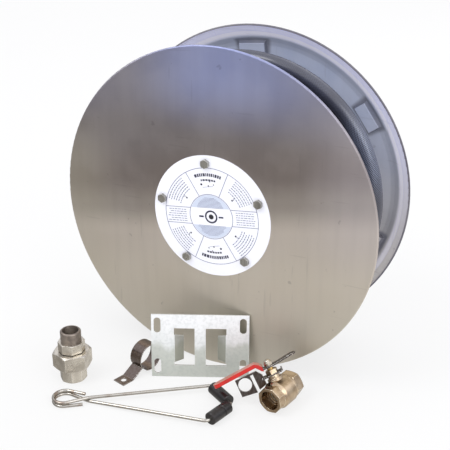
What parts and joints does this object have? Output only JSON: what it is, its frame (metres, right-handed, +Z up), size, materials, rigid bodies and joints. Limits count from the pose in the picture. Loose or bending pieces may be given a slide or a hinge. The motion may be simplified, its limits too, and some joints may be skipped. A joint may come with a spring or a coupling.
{
  "type": "fire hose reel",
  "caption": "Wall-mounted fire hose reel: two dished steel discs on a drum wound with hose, with its loose wall bracket, stop valve, pipe union, pipe clip and roller hose guide.",
  "frame": {"origin": "on the reel's spin axis, on the rear face of the hanger plate's web, at the centre of its four bolt holes", "axes": "+Y to the rear along the spin axis, into the wall; the labelled front disc faces -Y; +Z up; +X to the right seen from the front; millimetre solids"},
  "size_m": [0.532, 0.4616, 0.532],
  "materials": {
    "stainless_sheet": "satin rolled sheet",
    "label_print": "printed plate, satin",
    "zinc_plate": "mottled zinc plate",
    "machined_steel": "turned",
    "spring_steel": "dark spring steel",
    "bolt_steel": "zinc plated",
    "bearing_plastic": "moulded",
    "seal_rubber": "moulded",
    "hub_casting": "cast",
    "fitting_brass": "turned",
    "hose_cover": "braid under a clear cover",
    "strap_steel": "polished strip",
    "nozzle_plastic": "moulded",
    "malleable_iron": "galvanised casting",
    "black_iron": "oiled thread",
    "guide_steel": "bright drawn wire",
    "roller_plastic": "moulded",
    "valve_brass": "nickel-plated casting",
    "ball_chrome": "polished",
    "seat_plastic": "moulded",
    "lever_steel": "blackened strip",
    "lever_red": "dipped vinyl",
    "nut_chrome": "plated"
  },
  "bodies": {
    "frame": {"spindle": "machined_steel", "seal_rings": "seal_rubber", "retaining_ring": "spring_steel", "front_thrust_washer": "bearing_plastic", "rear_thrust_washer": "bearing_plastic", "hanger_plate": "zinc_plate", "hanger_bolts": "bolt_steel"},
    "reel": {"front_disc": "stainless_sheet", "rear_disc": "stainless_sheet", "drum_shell": "stainless_sheet", "drum_end_front": "stainless_sheet", "drum_end_rear": "stainless_sheet", "front_bush": "bearing_plastic", "rear_bush": "bearing_plastic", "waterway_hub": "hub_casting", "outlet_pipe": "fitting_brass", "hose_lead": "hose_cover", "hose_clamp": "strap_steel", "tie_bolts": "bolt_steel", "tie_nuts": "bolt_steel", "label_plate": "label_print", "centre_plug": "roller_plastic", "hose_pack": "hose_cover", "nozzle_ferrule": "fitting_brass", "nozzle_body": "fitting_brass"},
    "nozzle_twist": {"nozzle_sleeve": "nozzle_plastic"},
    "bracket": {"wall_bracket": "zinc_plate"},
    "clip": {"pipe_clip": "strap_steel"},
    "guide": {"guide_wire": "guide_steel"},
    "roller_side": {"guide_roller_side": "roller_plastic"},
    "roller_short": {"guide_roller_short": "roller_plastic"},
    "roller_long": {"guide_roller_long": "roller_plastic"},
    "union": {"union_tail": "malleable_iron", "union_gasket": "seal_rubber", "union_head": "malleable_iron", "union_nipple": "black_iron"},
    "union_ring": {"union_nut": "malleable_iron"},
    "valve": {"valve_body": "valve_brass", "valve_end_cap": "valve_brass", "valve_seats": "seat_plastic", "gland_nut": "valve_brass", "interlock_plate": "lever_steel"},
    "lever": {"valve_ball": "ball_chrome", "valve_stem": "fitting_brass", "valve_lever": "lever_steel", "lever_sleeve": "lever_red", "stem_nut": "nut_chrome"}
  },
  "joints": [
    {"name": "reel_spin", "type": "hinge", "parent": "frame", "child": "reel", "pos_m": [0, -0.1286, 0], "axis": [0, 1, 0], "continuous": true},
    {"name": "nozzle_sleeve_turn", "type": "hinge", "parent": "reel", "child": "nozzle_twist", "pos_m": [-0.234, -0.0826, 0], "axis": [0, 0, 1], "range_deg": [0, 90]},
    {"name": "bracket_lift", "type": "slide", "parent": "frame", "child": "bracket", "axis": [0, -0.5, 0.866], "range_m": [0, 0.12]},
    {"name": "clip_lift", "type": "slide", "parent": "frame", "child": "clip", "axis": [0, 0, 1], "range_m": [0, 0.12]},
    {"name": "guide_pull", "type": "slide", "parent": "frame", "child": "guide", "axis": [0, -1, 0], "range_m": [0, 0.06]},
    {"name": "side_roller_spin", "type": "hinge", "parent": "guide", "child": "roller_side", "pos_m": [0.0345, -0.295, -0.2559], "axis": [0.8498, -0.5271, 0], "continuous": true},
    {"name": "short_roller_spin", "type": "hinge", "parent": "guide", "child": "roller_short", "pos_m": [0.0848, -0.3262, -0.2559], "axis": [-0.2558, -0.9667, 0], "continuous": true},
    {"name": "long_roller_spin", "type": "hinge", "parent": "guide", "child": "roller_long", "pos_m": [0.0848, -0.3262, -0.2559], "axis": [-0.2558, -0.9667, 0], "continuous": true},
    {"name": "union_pull", "type": "slide", "parent": "frame", "child": "union", "axis": [-1, 0, 0], "range_m": [0, 0.1]},
    {"name": "union_nut_turn", "type": "hinge", "parent": "union", "child": "union_ring", "pos_m": [-0.1855, -0.3546, -0.228], "axis": [0, 0, 1], "continuous": true},
    {"name": "valve_pull", "type": "slide", "parent": "frame", "child": "valve", "axis": [1, 0, 0], "range_m": [0, 0.1]},
    {"name": "lever_swing", "type": "hinge", "parent": "valve", "child": "lever", "pos_m": [0.1483, -0.2806, -0.242], "axis": [-0.5331, 0.1114, 0.8387], "range_deg": [-41.5, 48.5]}
  ]
}
